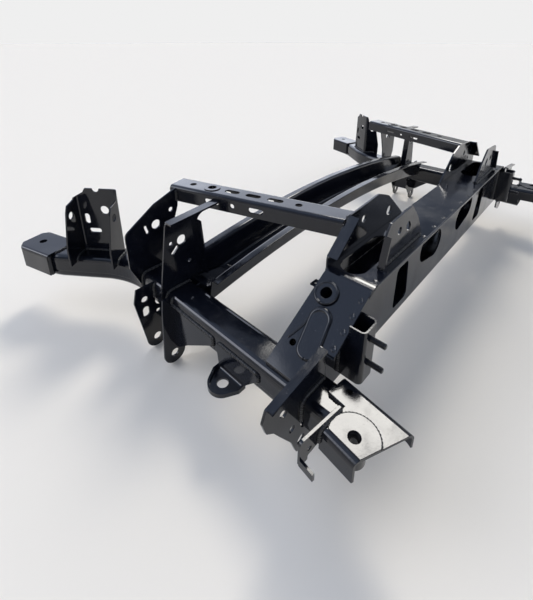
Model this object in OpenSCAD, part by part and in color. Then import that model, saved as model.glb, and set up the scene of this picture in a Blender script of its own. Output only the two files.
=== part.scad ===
// Rear suspension subframe, welded from pressed steel sheet.
// +X points to the right, +Y to the front, +Z up. The lowest bracket edge lies on Z = 0
// and the frame is symmetric about X = 0. Left pieces are mirrored right pieces.

/* [Sheet] */
// Height of the body mounting faces above the lowest bracket edge
mount_height = 136; // [126:1:150]
// Sheet thickness of the rails, beam, crossmember and struts
sheet = 2.6; // [2:0.1:3.4]
// Thickness of the bracket plates and mounting caps
plate = 3.2; // [2.6:0.1:4]
// Gap left along a welded seam
weld_gap = 0.2; // [0.1:0.05:0.4]
// Bend radius at mid thickness
bend_r = 6; // [4:0.5:7]

/* [Side rails] */
// Distance between the rail centre lines
rail_spacing = 908; // [890:2:930]
// Width of a rail
rail_w = 52; // [48:1:56]
// Height of a rail
rail_h = 50; // [46:1:56]
// Outer corner radius of the rail section
rail_r = 11; // [8:0.5:14]
// Depth of the upper shell's side walls
rail_seam = 32; // [28:1:36]
// Overlap of the two shells inside the seam
rail_lap = 14; // [10:1:16]
// Length of the rails behind the hook plates
rail_past = 9; // [6:1:11]
// Where the rails start to sweep outboard
sweep_start = 100; // [90:1:106]
// Radius of the outboard sweep
sweep_r = 180; // [165:1:190]
// Outboard travel of the run after the sweep for each 100 mm forward
sweep_slope = 75; // [65:1:85]
// Straight length after the outboard sweep
sweep_run = 84; // [76:1:92]
// Radius of the return bend before the front mount
return_r = 70; // [62:1:80]
// Angle of the return bend
return_angle = 20; // [14:1:26]

/* [Body mounts] */
// Diameter of the body bolt holes
mount_bore = 14; // [12:0.5:16]
// Outer diameter of the spacer sleeves round the body bolts
sleeve_od = 28; // [24:0.5:32]
// Depth of the front caps' skirts
cap_skirt = 44; // [40:1:50]
// Depth of the rear caps' skirts
rear_skirt = 29; // [26:1:36]
// Width of a front cap
front_cap_w = 68; // [64:1:76]
// Length of a front cap past the rail end
front_cap_len = 76; // [72:1:86]
// Clipped corner of a front cap
front_cap_clip = 14; // [8:1:20]
// Length of rail covered by a cap
cap_lap = 16; // [12:1:20]
// Bolt hole of the front cap, from the rail end
front_hole_y = 42; // [38:1:48]
// Width of a rear cap
rear_cap_w = 74; // [70:1:80]
// Rear face of the hook plate, where the outboard half of a rear cap begins
hook_y = -304; // [-308:1:-300]
// Length of a rear cap behind the hook plate
rear_cap_len = 70; // [64:1:76]
// Length of the inboard tongue in front of the hook plate
rear_cap_tongue = 24; // [20:1:30]
// Run of the slanted rear edge
rear_cap_slant = 26; // [20:1:30]
// Angle of the slanted rear edge
rear_edge_angle = 17; // [12:1:22]
// Radius of the scallop in the rear cap skirts
rear_scallop_r = 12; // [8:0.5:15]
// Rear bolt hole, outboard of the middle of the cap
rear_hole_out = 16; // [12:0.5:18]
// Rear bolt hole behind the hook plate
rear_hole_back = 29; // [26:0.5:32]
// Locating hole from the inboard edge of the cap
locator_in = 14; // [11:0.5:18]
// Outboard lean of the rear caps
rear_cap_lean = 7; // [4:1:10]
// Radius of the raised seat round the rear bolt hole
seat_r = 27; // [22:0.5:28]
// Height of the raised seat
seat_h = 1.6; // [1:0.1:2.5]
// Diameter of the locating hole in a rear cap
locator_d = 9; // [7:0.5:11]

/* [Rear beam] */
// Front face of the beam
beam_front = -200; // [-206:1:-194]
// Depth of the beam from front to rear
beam_depth = 58; // [54:1:62]
// Height of the flat top above the mounting faces
beam_rise = 80; // [74:1:86]
// Depth of the beam's underside below the mounting faces
beam_drop = 40; // [36:1:44]
// Half length of the flat top
beam_flat = 345; // [335:1:352]
// Reach of the sloping end over the rail centre line
beam_reach = 18; // [14:1:20]
// Width of the pinch flange behind the rear plate
flange_w = 12; // [8:1:14]
// Reach of the pinch flange over the rail
flange_over = 2; // [0:0.5:3]
// Corner radius of the beam outline
beam_r = 14; // [10:1:18]
// Diameter of the bush sleeve set into each sloping end
bush_od = 34; // [30:0.5:38]
// Bore of the bush sleeve
bush_bore = 16; // [12:0.5:18]
// Length of the bush sleeve
bush_len = 30; // [24:1:36]
// Height by which the bush sleeve stands above the slope
bush_proud = 3; // [2:0.5:5]
// Distance of the bush sleeve from the top of the slope
bush_down = 34; // [30:1:40]
// Distance of the drain hole below the bush sleeve along the slope
slope_hole_down = 77; // [73:1:80]
// Distance of the drain hole in front of the bush sleeve's middle
slope_hole_front = 4; // [3:0.5:6]
// Distance of the raised pad's middle below the bush sleeve along the slope
pad_down = 54; // [51:1:57]
// Distance of the raised pad's middle behind the bush sleeve's middle
pad_back = 15; // [14:0.5:16]
// Length of the raised pad
pad_len = 64; // [58:1:66]
// Width of the raised pad
pad_w = 26; // [22:1:27]
// Height of the raised pad
pad_h = 3; // [2:0.5:3.5]
// Turn of the raised pad from the line of the slope
pad_turn = 10; // [7:1:12]
// Length of the pocket in the top between the walls of the link bracket
pocket_len = 132; // [122:2:138]
// Width of the pocket
pocket_w = 40; // [36:1:42]
// Shift of the pocket forward of the beam's middle
pocket_front = 2; // [0:0.5:4]
// Shift of the pocket outboard of the link bolt
pocket_out = 22; // [16:1:26]
// Distance of the front face's openings from the centre line
beam_hole_x = 140; // [130:2:150]
// Diameter of the front face's openings
beam_hole_d = 36; // [30:1:40]
// Distance of the rear plate's oval windows from the centre line
window_x = 95; // [88:1:100]
// Height of the oval windows above the mounting faces
window_rise = 32; // [26:1:36]
// Length of the oval windows
window_len = 104; // [92:2:112]
// Width of the oval windows
window_w = 54; // [46:1:58]
// Turn of the oval windows
window_turn = 12; // [8:1:16]
// Distance of the rear plate's side windows from the centre line
side_window_x = 212; // [204:1:218]
// Height of the side windows' middle above the mounting faces
side_window_rise = 12; // [8:1:16]
// Width of the side windows at the foot
side_window_w = 52; // [46:1:56]
// Height of the side windows
side_window_h = 76; // [66:1:82]
// Rake of the side windows' inboard edge
side_window_rake = 12; // [8:1:16]

/* [Link brackets on the beam] */
// Distance of the link bolt from the centre line
link_x = 247; // [242:1:252]
// Height of the link bolt above the mounting faces
link_rise = 121; // [117:1:125]
// Bore for the link bolt
link_bore = 13; // [11:0.5:15]
// Height of the bracket's crown above the link bolt
link_crown = 28; // [24:1:34]
// Reach of the front wall inboard of the link bolt
link_in = 150; // [140:2:160]
// Reach of the front wall outboard of the link bolt
link_out = 96; // [90:1:102]
// Lap of the front wall on the beam's front face
link_lap = 26; // [20:1:30]
// Reach of the rear wall inboard of the link bolt
link_rear_in = 96; // [88:1:104]
// Reach of the rear wall outboard of the link bolt
link_rear_out = 54; // [48:1:58]
// Width of the folded edge of a front wall
link_fold = 14; // [10:1:18]

/* [Front crossmember] */
// Middle of the crossmember
cross_y = -2; // [-8:1:4]
// Width between the trough walls at the flanges
cross_w = 72; // [66:1:78]
// Height of the trough
cross_h = 50; // [44:1:54]
// Depth of the trough floor below the rail top where it meets the rails
cross_floor = 26; // [20:1:32]
// Rise of the crossmember from the rails to the middle
cross_arch = 38; // [28:1:46]
// Width of the trough flanges
cross_flange = 16; // [12:1:20]
// Slope of the trough walls, as sideways travel over their height
cross_batter = 10; // [6:1:14]
// Length of the sloping end gusset
gusset_len = 78; // [70:1:90]
// Length of the gusset's foot on the trough floor
gusset_foot = 14; // [10:1:18]
// Diameter of the drain holes
drain_d = 18; // [12:1:22]
// Spacing of the drain holes
drain_pitch = 120; // [100:5:140]

/* [Struts] */
// Height of the strut top above the mounting faces
strut_rise = 138; // [134:1:142]
// Width of a strut
strut_w = 46; // [42:1:50]
// Depth of a strut
strut_d = 28; // [24:1:32]
// Rear end of the strut axis from the centre line
strut_rear_x = 282; // [278:1:286]
// Front end of the strut axis from the centre line
strut_front_x = 378; // [374:1:382]
// Front end of the strut
strut_front_y = 114; // [110:1:122]
// Distance of the first hole in a strut's top from its rear end
strut_hole_start = 84; // [76:1:92]
// Spacing of the holes along a strut
strut_pitch = 41; // [38:0.5:42]
// Diameter of a strut's round holes
strut_hole_d = 12; // [10:0.5:14]
// Length of a strut's slots
strut_slot = 28; // [24:1:30]
// Height of the ring round the largest hole
strut_ring_h = 1.5; // [1:0.25:2]

/* [Upper arm brackets] */
// Distance of the arm bolt from the centre line
arm_x = 442; // [438:1:446]
// Height of the arm bolt above the mounting faces
arm_rise = 80; // [75:1:85]
// Front face of the rear plate
arm_rear_y = 20; // [16:1:24]
// Clear width between the two plates
arm_gap = 74; // [68:1:80]
// Bore for the arm bolt
arm_bore = 17; // [15:0.5:18]
// Width of the folded edges of the rear plate
arm_fold = 16; // [12:1:20]
// Height of the plates above the arm bolt
arm_crown = 40; // [36:1:44]
// Reach of the front plate outboard of the arm bolt
arm_out = 58; // [54:1:60]
// Reach of the rear plate inboard of the arm bolt, towards the strut
arm_in = 74; // [72:1:78]
// Height of the rear plate's foot above the rail beside the crossmember
arm_foot_up = 4; // [3.5:0.5:6]
// Width of the rear plate's foot inboard of the arm bolt
arm_foot_in = 40; // [36:1:42]
// Height of the front arm bracket
front_bracket_h = 130; // [120:1:138]
// Width of the front arm bracket along the rail
front_bracket_w = 86; // [80:1:94]
// Shift of the front arm bracket forward along the rail
front_bracket_shift = 8; // [4:1:12]
// Depth of the ears over the rail's shoulders
front_bracket_skirt = 9; // [5:1:14]
// Depth of the front arm bracket's ears
front_bracket_d = 52; // [48:1:56]
// Depth of the ears at their top
front_bracket_top_d = 36; // [34:1:40]
// Height of the ears
front_ear_h = 106; // [102:1:110]
// Set-back of the front arm bracket's web from the rail's middle
front_bracket_back = 8; // [4:1:10]
// Distance of the ears' bore from the web
front_bracket_out = 24; // [22:1:26]
// Bore through the ears of the front arm bracket
front_bracket_bore = 14; // [12:0.5:16]
// Height of that bore above the rail
front_bracket_rise = 84; // [78:1:90]

/* [Lower brackets] */
// Distance of the lower arm bolt from the centre line
clevis_x = 484; // [480:1:490]
// Corner radius of the ears round the bolt
clevis_r = 20; // [18:0.5:24]
// Bore for the lower arm bolt
clevis_bore = 14; // [12:0.5:16]
// Rear face of the front ear
clevis_front_y = 57; // [54:1:60]
// Clear width between the ears
clevis_gap = 52; // [48:1:56]
// Reach of the front ear outboard of the rail
clevis_out = 38; // [34:1:40]
// Length of the rear ear's flange along the rail
clevis_flange = 106; // [98:1:108]
// Depth of the rear ear's flange below the mounting faces
clevis_flange_drop = 98; // [92:1:100]
// Middle of the drop bracket
drop_y = -154; // [-160:1:-148]
// Width of the drop bracket along the rail
drop_w = 80; // [74:1:82]
// Width of the drop bracket's foot
drop_foot_w = 54; // [48:1:58]
// Distance of the drop bracket's bore from the rail
drop_bore_out = 19; // [17:0.5:21]
// Height of the rim round the foot
drop_rim = 7; // [5:0.5:9]
// Depth of the drop bracket below the rail top
drop_depth = 56; // [52:1:62]
// Radius of the drop bracket's nose round the bore
drop_nose = 21; // [18:0.5:24]
// Shift of the bore forward of the bracket's middle
drop_shift = 10; // [6:1:14]
// Bore of the drop bracket
drop_bore = 16; // [13:0.5:18]
// Distance of the rear gusset's link hole from the rail's outer face
gusset_bore_in = 2; // [0:0.5:4]
// Distance of the rear gusset's link hole below the rail
gusset_bore_drop = 16; // [14:0.5:18]
// Bore of the rear gusset's link hole
gusset_bore = 14; // [12:0.5:15]
// Reach of the hook plate from the rail side
hook_reach = 44; // [40:1:48]
// Depth of the hook plate's tip below the mounting faces
hook_drop = 30; // [26:1:36]
// Length of the hook's bent lip
hook_lip = 12; // [9:1:16]
// Length of the hook's tab behind the plate
hook_tab = 18; // [14:1:22]
// Height of the hook plate's upper edge above the mounting faces
hook_up = 4; // [2:0.5:6]
// Reach of the rear gusset outboard of the rail
gusset_reach = 65; // [60:1:70]
// Height of the rear gusset's inner corner above the mounting faces
gusset_rise = 49; // [44:1:54]
// Width of the fold along the rear gusset's upper edge
gusset_fold = 10; // [7:1:13]

/* [Line tabs] */
// Width of a line tab
tab_w = 14; // [12:1:18]
// Reach of a line tab from the beam
tab_reach = 12; // [10:1:16]
// Diameter of a line tab's hole
tab_hole = 5; // [4:0.5:6]
// Distance of a line tab from the end of the flat top
tab_out = 8; // [4:1:12]
// Depth of a line tab below the flat top
tab_drop = 24; // [20:1:28]

/* [Studs] */
// Distance of the studs from the centre line
stud_x = 384; // [380:1:390]
// Stud diameter
stud_d = 8; // [6:0.5:10]
// Length of stud past the bracket
stud_len = 20; // [16:1:26]
// Width of the shoulder where a stud's press-in collar ends
stud_shoulder = 1; // [0.5:0.25:1.5]
// Thickness of a stud's head inside the bracket
stud_head_h = 3; // [2:0.5:4]
// Height of the lower stud above the mounting faces
stud_rise = 2; // [-2:1:6]
// Spacing of the two studs
stud_pitch = 38; // [34:1:42]
// Depth of the stud bracket behind the beam
stud_box_d = 34; // [30:1:40]
// Width of the stud bracket
stud_box_w = 34; // [30:1:38]
// Height of the stud bracket
stud_box_h = 82; // [76:1:88]
// Height of the lower stud above the bracket's lower edge
stud_up = 27; // [23:1:31]

/* [Hidden] */
$fn = 48;
pad_z = mount_height;
rail_x = rail_spacing / 2;
rail_top = pad_z - plate - weld_gap;
rail_bottom = rail_top - rail_h;
rail_out = rail_x + rail_w / 2;
rail_in = rail_x - rail_w / 2;
rail_rear = hook_y - rail_past;
sweep_angle = atan(sweep_slope / 100);
sweep_steps = 12;
return_steps = 6;
cross_r = (rail_in * rail_in + cross_arch * cross_arch) / (2 * cross_arch);
beam_rear = beam_front - beam_depth;
beam_top = pad_z + beam_rise;
beam_bottom = pad_z - beam_drop;
beam_tip = rail_x + beam_reach;
tip_top = rail_top + weld_gap + 2.6 * sheet;
slope = atan2(beam_top - tip_top, beam_tip - beam_flat);
link_z = pad_z + link_rise;
wall_front = beam_front + plate;
plate_rear = beam_rear - sheet;
wall_rear = beam_rear;
flange_end = rail_in + flange_over;
strut_top = pad_z + strut_rise;
strut_rear_y = wall_front + weld_gap;
strut_run = [strut_front_x - strut_rear_x, strut_front_y - strut_rear_y];
strut_turn = -atan2(strut_run[0], strut_run[1]);
strut_len = norm(strut_run);
arm_z = pad_z + arm_rise;
arm_front_y = arm_rear_y + arm_gap;
clevis_z = clevis_r;
stud_collar = stud_d + 2 * stud_shoulder;
rear_cap_x = rail_x + rear_cap_w / 2 - rail_w / 2 - 2 * plate;
clevis_rear_y = clevis_front_y - clevis_gap;
bush_x = beam_flat + bush_down * cos(slope);
bush_z = beam_top - bush_down * sin(slope);
bush_y = beam_front - beam_depth * 0.36;
paint = [0.08, 0.08, 0.09];

sides = ["left", "right"];
pair_names = [
    "side_rail_upper", "side_rail_lower", "rear_mount_cap", "rear_mount_sleeve", "front_mount_cap",
    "front_mount_sleeve", "front_arm_bracket", "arm_bracket_front_plate", "arm_bracket_rear_plate",
    "strut", "link_bracket_front_wall", "link_bracket_rear_wall", "bush_sleeve", "lower_clevis_front_ear",
    "lower_clevis_rear_ear", "drop_bracket", "rear_gusset_plate", "rear_hook_plate", "stud_bracket",
    "studs", "crossmember_gusset", "line_tab"];

function unit(v) = v / norm(v);
function left_of(v) = [-v[1], v[0]];
function spin(v, a) = [v[0] * cos(a) - v[1] * sin(a), v[0] * sin(a) + v[1] * cos(a)];
function turn(a, b) = atan2(a[0] * b[1] - a[1] * b[0], a * b);
function reverse(p) = [for (i = [len(p) - 1 : -1 : 0]) p[i]];

// Arc that rounds the corner p1 with mid radius r, shifted by d to the left of the path.
function corner(p0, p1, p2, r, d = 0, n = 6) =
    let (a = unit(p1 - p0), b = unit(p2 - p1), t = turn(a, b), s = sign(t))
    let (c = p1 - a * r * tan(abs(t) / 2) + left_of(a) * s * r)
    [for (k = [0 : n]) c + spin(left_of(a) * -s, t * k / n) * (r - s * d)];

function path_side(p, r, d) = let (last = len(p) - 1) concat(
    [p[0] + left_of(unit(p[1] - p[0])) * d],
    [for (i = [1 : 1 : last - 1]) each corner(p[i - 1], p[i], p[i + 1], r, d)],
    [p[last] + left_of(unit(p[last] - p[last - 1])) * d]);

// Outline of a bent strip of sheet whose mid line follows the points p.
function strip(p, r, t) = concat(path_side(p, r, t / 2), reverse(path_side(p, r, -t / 2)));

// Closed outline with each corner rounded; r is one radius or one for each corner.
function rounded(p, r) = let (n = len(p))
    [for (i = [0 : n - 1])
        each corner(p[(i + n - 1) % n], p[i], p[(i + 1) % n], is_list(r) ? r[i] : r)];

// Closed counter-clockwise outline moved inward by d.
function inset(p, d) = let (n = len(p))
    [for (i = [0 : n - 1])
        let (a = left_of(unit(p[i] - p[(i + n - 1) % n])), b = left_of(unit(p[(i + 1) % n] - p[i])))
        p[i] + (a + b) * d / (1 + a * b)];

// Extrusions of a front-view outline along Y, and of a plan outline along Z.
module along_y(y0, y1) {
    translate([0, y1, 0]) rotate([90, 0, 0]) linear_extrude(y1 - y0) children();
}
module along_z(z0, z1) {
    translate([0, 0, z0]) linear_extrude(z1 - z0) children();
}
module hole_y(x, y, z, d, length = 40) {
    translate([x, y + length / 2, z]) rotate([90, 0, 0]) cylinder(d = d, h = length);
}
module slot(length, width, angle = 0) {
    rotate([0, 0, angle]) {
        square([length - width, width], center = true);
        for (s = [-1, 1]) translate([s * (length - width) / 2, 0]) circle(d = width);
    }
}

module on_side(side) {
    if (side == "left") mirror([1, 0, 0]) children();
    else children();
}

// Frame at the centre of the outboard sweep, turned so that the sweep ends on its X axis.
module sweep_frame() {
    translate([rail_x + sweep_r, sweep_start, 0]) rotate([0, 0, 180 - sweep_angle]) children();
}
// Frame at the rail's front end, its Y axis along the rail.
module rail_end() {
    sweep_frame() translate([sweep_r + return_r, -sweep_run, 0]) rotate([0, 0, 180 + return_angle])
        translate([return_r, 0, 0]) children();
}
// Carries a section along the whole rail: straight run, outboard sweep, short run, return bend.
module rail_sweep() {
    translate([rail_x, 0, 0]) along_y(rail_rear, sweep_start) children();
    sweep_frame() {
        rotate_extrude(angle = sweep_angle, $fn = 120) translate([sweep_r, 0]) children();
        translate([sweep_r, 0, 0]) along_y(-sweep_run, 0) children();
        translate([sweep_r + return_r, -sweep_run, 0]) rotate([0, 0, 180])
            rotate_extrude(angle = return_angle, $fn = 120) translate([return_r, 0]) children();
    }
}
// Outer body of the rail with a seam gap all round, which brackets are cut to.
module rail_clearance() {
    w = rail_w / 2 + weld_gap;
    box = [[-w, rail_bottom - weld_gap], [w, rail_bottom - weld_gap],
        [w, rail_top + weld_gap], [-w, rail_top + weld_gap]];
    rail_sweep() polygon(rounded(box, rail_r + weld_gap));
}

// Places along the rail's centre line, each with its heading.
function rail_stations() = let (
    arc = [for (k = [0 : sweep_steps]) let (a = sweep_angle * k / sweep_steps)
        [[rail_x + sweep_r * (1 - cos(a)), sweep_start + sweep_r * sin(a)], a]],
    bend = arc[sweep_steps][0] + sweep_run * [sin(sweep_angle), cos(sweep_angle)],
    back = [for (k = [0 : return_steps]) let (a = sweep_angle - return_angle * k / return_steps)
        [bend + return_r * [cos(a) - cos(sweep_angle), sin(sweep_angle) - sin(a)], a]])
    concat([[[rail_x, rail_rear], 0]], arc, back);
// One shell of the rail: a clockwise section of sheet carried through all the stations.
module rail_shell(section) {
    places = rail_stations();
    n = len(section);
    last = (len(places) - 1) * n;
    polyhedron(
        points = [for (p = places, q = section)
            [p[0][0] + q[0] * cos(p[1]), p[0][1] - q[0] * sin(p[1]), q[1]]],
        faces = concat(
            [for (j = [0 : n / 2 - 2]) let (a = n - 1 - j) each [[j, j + 1, a - 1], [j, a - 1, a]]],
            [for (j = [0 : n / 2 - 2]) let (a = last + n - 1 - j, b = last + j)
                each [[a - 1, b + 1, b], [a, a - 1, b]]],
            [for (i = [0 : n : last - n], j = [0 : n - 1]) let (k = i + (j + 1) % n, m = i + j)
                each [[m, m + n, k + n], [m, k + n, k]]]));
}

module side_rail_upper() {
    w = (rail_w - sheet) / 2;
    color(paint) rail_shell(strip([[-w, rail_top - rail_seam], [-w, rail_top - sheet / 2],
        [w, rail_top - sheet / 2], [w, rail_top - rail_seam]], rail_r - sheet / 2, sheet));
}
module side_rail_lower() {
    w = rail_w / 2 - sheet * 1.5 - weld_gap;
    edge = rail_top - rail_seam + rail_lap;
    color(paint) rail_shell(strip([[w, edge], [w, rail_bottom + sheet / 2],
        [-w, rail_bottom + sheet / 2], [-w, edge]], rail_r - sheet / 2, sheet));
}

// Inverted channel of plate, its top face at the mounting height.
module cap_channel(w, y0, y1) {
    h = (w - plate) / 2;
    along_y(y0, y1) polygon(strip([[-h, pad_z - rear_skirt], [-h, pad_z - plate / 2],
        [h, pad_z - plate / 2], [h, pad_z - rear_skirt]], bend_r, plate));
}
module rear_cap_frame() {
    translate([rear_cap_x, hook_y, 0]) rotate([0, 0, rear_cap_lean]) children();
}
module rear_hole_frame() {
    rear_cap_frame() translate([rear_hole_out, -rear_hole_back, 0]) children();
}
// Open channel over the rail end: slanted rear edge, scalloped skirts, raised bolt seat.
module rear_mount_cap() {
    reach = 2 * rear_cap_w;
    flat = rear_cap_w - 2 * (bend_r + plate / 2);
    color(paint) difference() {
        union() {
            rear_cap_frame() cap_channel(rear_cap_w, -rear_cap_len, rear_cap_tongue);
            rear_cap_frame() along_z(pad_z - plate / 2, pad_z + seat_h) intersection() {
                translate([rear_hole_out, -rear_hole_back]) circle(r = seat_r, $fn = 96);
                square([flat, 4 * seat_r], center = true);
            }
        }
        rear_hole_frame() along_z(pad_z - rear_skirt, pad_z + 2 * seat_h) circle(d = mount_bore);
        rear_cap_frame() {
            translate([rear_cap_w / 2, -rear_cap_len + rear_cap_slant, 0]) rotate([0, 0, rear_edge_angle])
                translate([-1.5 * reach, -reach, 0]) cube([2 * reach, reach, 2 * pad_z]);
            translate([-rear_cap_w, -rear_cap_len + rear_cap_slant / 2, pad_z - rear_skirt]) rotate([0, 90, 0])
                cylinder(r = rear_scallop_r, h = rear_cap_w);
            translate([-rear_cap_w / 2 + locator_in, rear_cap_tongue / 3, 0])
                cylinder(d = locator_d, h = 2 * pad_z);
        }
        // Room for the hook plate in front of the outboard half.
        rear_cap_frame() translate([rail_x - rear_cap_x, -weld_gap, 0]) cube([reach, reach, 2 * pad_z]);
    }
}
module mount_sleeve(skirt) {
    along_z(pad_z - skirt, pad_z - plate - weld_gap) difference() {
        circle(d = sleeve_od);
        circle(d = mount_bore);
    }
}
module rear_mount_sleeve() {
    color(paint) rear_hole_frame() mount_sleeve(rear_skirt);
}
// Plan of the front cap with clipped front corners, its rear edge at -rear.
function front_cap_plan(rear) = let (w = front_cap_w / 2, c = front_cap_clip)
    [[-w, -rear], [w, -rear], [w, front_cap_len - c], [w - c, front_cap_len],
        [c - w, front_cap_len], [-w, front_cap_len - c]];
// Tray with its open side down and its rear end open round the rail.
module front_mount_cap() {
    w = front_cap_w / 2;
    section = [[-w, pad_z - cap_skirt], [w, pad_z - cap_skirt], [w, pad_z], [-w, pad_z]];
    corners = [1, 1, bend_r, bend_r, bend_r, bend_r];
    color(paint) rail_end() difference() {
        intersection() {
            along_z(pad_z - cap_skirt, pad_z) polygon(rounded(front_cap_plan(cap_lap), corners));
            along_y(-cap_lap, front_cap_len) polygon(rounded(section, [1, 1, bend_r, bend_r]));
        }
        along_z(0, pad_z - plate)
            polygon(rounded(inset(front_cap_plan(2 * cap_lap), plate), corners / 2));
        translate([0, front_hole_y, pad_z - cap_skirt]) cylinder(d = mount_bore, h = 2 * cap_skirt);
    }
}
module front_mount_sleeve() {
    color(paint) rail_end() translate([0, front_hole_y, 0]) mount_sleeve(cap_skirt);
}

// Front view of the beam: flat top, sloping ends that saddle the rails, flat underside.
function beam_outline(ridge = 0) = let (
    half = [[rail_in - weld_gap, beam_bottom], [rail_in - weld_gap, rail_top + weld_gap],
        [beam_tip, rail_top + weld_gap], [beam_tip, tip_top + ridge], [beam_flat, beam_top + ridge]])
    concat(half, reverse([for (q = half) [-q[0], q[1]]]));
beam_radii = [beam_r, 0.5, 1, 1, 3 * beam_r];
function beam_rounds(less = 0) = let (half = [for (r = beam_radii) max(r - less, 0.4)])
    concat(half, reverse(half));

module slope_frame() {
    translate([bush_x, bush_y, bush_z]) rotate([0, slope, 0]) children();
}
// Front view of the top sheet at the depth d below its upper face, out to X = end on both sides.
function top_line(end, d) = let (
    half = [[end, tip_top + (beam_tip - end) * tan(slope) - d / cos(slope)],
        [beam_flat - d * tan(slope / 2), beam_top - d]])
    concat(half, reverse([for (q = half) [-q[0], q[1]]]));
// Plan of the raised pad on the slope, in the slope's frame.
module pad_plan(less) {
    translate([pad_down, -pad_back]) slot(pad_len - 2 * less, pad_w - 2 * less, -pad_turn);
}
// Hat section with its top sheet carried on past the rear plate as a pinch flange.
module rear_beam_front_shell() {
    rear = plate_rear - flange_w;
    low = top_line(flange_end, 2 * sheet);
    far = 2 * beam_tip;
    cut = concat([[far, 0], [far, far], [flange_end, far]], low,
        [[-flange_end, far], [-far, far], [-far, 0]]);
    color(paint) difference() {
        union() {
            along_y(rear, beam_front) polygon(rounded(beam_outline(), beam_rounds()));
            for (s = sides) on_side(s) slope_frame() along_z(-sheet / 2, pad_h) pad_plan(0);
        }
        along_y(rear - 1, beam_front - sheet)
            polygon(rounded(inset(beam_outline(), sheet), beam_rounds(sheet)));
        along_y(rear - 1, beam_rear) polygon(cut);
        for (s = sides) on_side(s) {
            slope_frame() {
                translate([0, 0, -bush_len]) cylinder(d = bush_od + 2 * weld_gap, h = 2 * bush_len);
                translate([slope_hole_down, slope_hole_front, -2 * sheet])
                    cylinder(d = locator_d, h = 4 * sheet);
                along_z(-2 * sheet, pad_h - sheet) pad_plan(sheet);
            }
            // Open pocket in the top between the two walls of the link bracket.
            translate([link_x + pocket_out, beam_front - beam_depth / 2 + pocket_front, 0])
                along_z(beam_top - 4 * sheet, beam_top + 1) slot(pocket_len, pocket_w);
            hole_y(beam_hole_x, beam_front, pad_z, beam_hole_d);
        }
    }
}
// Closing plate with its own flange turned back under the pinch flange.
module rear_beam_rear_plate() {
    under = 1.5 * sheet + weld_gap;
    w = side_window_w / 2;
    h = side_window_h / 2;
    color(paint) difference() {
        union() {
            along_y(plate_rear, beam_rear) polygon(rounded(beam_outline(-under), beam_rounds(under)));
            along_y(plate_rear - flange_w, beam_rear)
                polygon(strip(top_line(flange_end, under), 3 * beam_r - under, sheet));
        }
        for (s = sides) on_side(s) along_y(plate_rear - 1, beam_rear + 1) {
            translate([window_x, pad_z + window_rise]) slot(window_len, window_w, window_turn);
            translate([side_window_x, pad_z + side_window_rise])
                polygon(rounded([[-w, -h], [w, -h], [w, h], [side_window_rake - w, h]], locator_d));
        }
    }
}
module bush_sleeve() {
    color(paint) slope_frame() translate([0, 0, bush_proud - bush_len]) difference() {
        cylinder(d = bush_od, h = bush_len);
        translate([0, 0, -1]) cylinder(d = bush_bore, h = bush_len + 2);
    }
}

// Tall wall on the beam's front face with one folded edge.
module link_bracket_front_wall() {
    base = beam_top - link_lap;
    crown = link_z + link_crown;
    rise = crown - beam_top;
    edge = [[link_x - link_in, base], [link_x + link_out, base], [link_x + link_out, beam_top + 0.2 * rise],
        [link_x + 0.45 * link_out, crown - 0.1 * rise], [link_x - 0.3 * link_in, crown],
        [link_x - 0.55 * link_in, crown - 0.2 * rise], [link_x - link_in, beam_top]];
    fold = [[link_x + link_out - plate / 2, beam_top + 0.22 * rise],
        [link_x + 0.45 * link_out - plate / 2, crown - 0.12 * rise]];
    color(paint) difference() {
        union() {
            along_y(beam_front + weld_gap, wall_front) polygon(rounded(edge, [4, 4, 4, 8, 14, 18, 20]));
            along_y(beam_front - link_fold, wall_front) polygon(strip(fold, 1, plate));
        }
        hole_y(link_x, wall_front, link_z, link_bore);
        along_y(beam_front - 1, wall_front + 1) {
            translate([link_x - 0.6 * link_in, beam_top + 0.35 * rise]) circle(d = 1.4 * link_bore);
            translate([link_x + 0.4 * link_out, beam_top + 0.3 * rise]) circle(d = 0.6 * link_bore);
        }
    }
}
// Lower wall on the beam's top, with its outboard edge folded to the rear.
module link_bracket_rear_wall() {
    base = beam_top + weld_gap;
    crown = link_z + link_crown;
    rise = crown - beam_top;
    edge = [[link_x - link_rear_in, base], [link_x + link_rear_out, base],
        [link_x + 0.8 * link_rear_out, crown - 0.3 * rise], [link_x + 0.6 * link_rear_out, crown - 0.06 * rise],
        [link_x - 0.4 * link_rear_in, crown], [link_x - 0.7 * link_rear_in, crown - 0.4 * rise]];
    fold = [[link_x + link_rear_out - plate / 2, base + plate],
        [link_x + 0.8 * link_rear_out - plate / 2, crown - 0.3 * rise]];
    color(paint) difference() {
        union() {
            along_y(wall_rear, wall_rear + plate) polygon(rounded(edge, [3, 3, 6, 6, 8, 12]));
            along_y(wall_rear - link_fold / 2, wall_rear + plate) polygon(strip(fold, 1, plate));
        }
        hole_y(link_x, wall_rear, link_z, link_bore);
        along_y(wall_rear - link_fold, wall_rear + 2 * plate)
            translate([link_x - 0.34 * link_rear_in, link_z - 0.06 * rise])
                slot(1.5 * link_bore, link_bore, 50);
    }
}

// Trough section at the height z of its floor: flanges, battered walls, floor.
function trough_line(z) = let (w = cross_w / 2, top = z + cross_h - sheet / 2)
    [[-w - cross_flange, top], [-w, top], [cross_batter - w, z + sheet / 2],
        [w - cross_batter, z + sheet / 2], [w, top], [w + cross_flange, top]];
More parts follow.
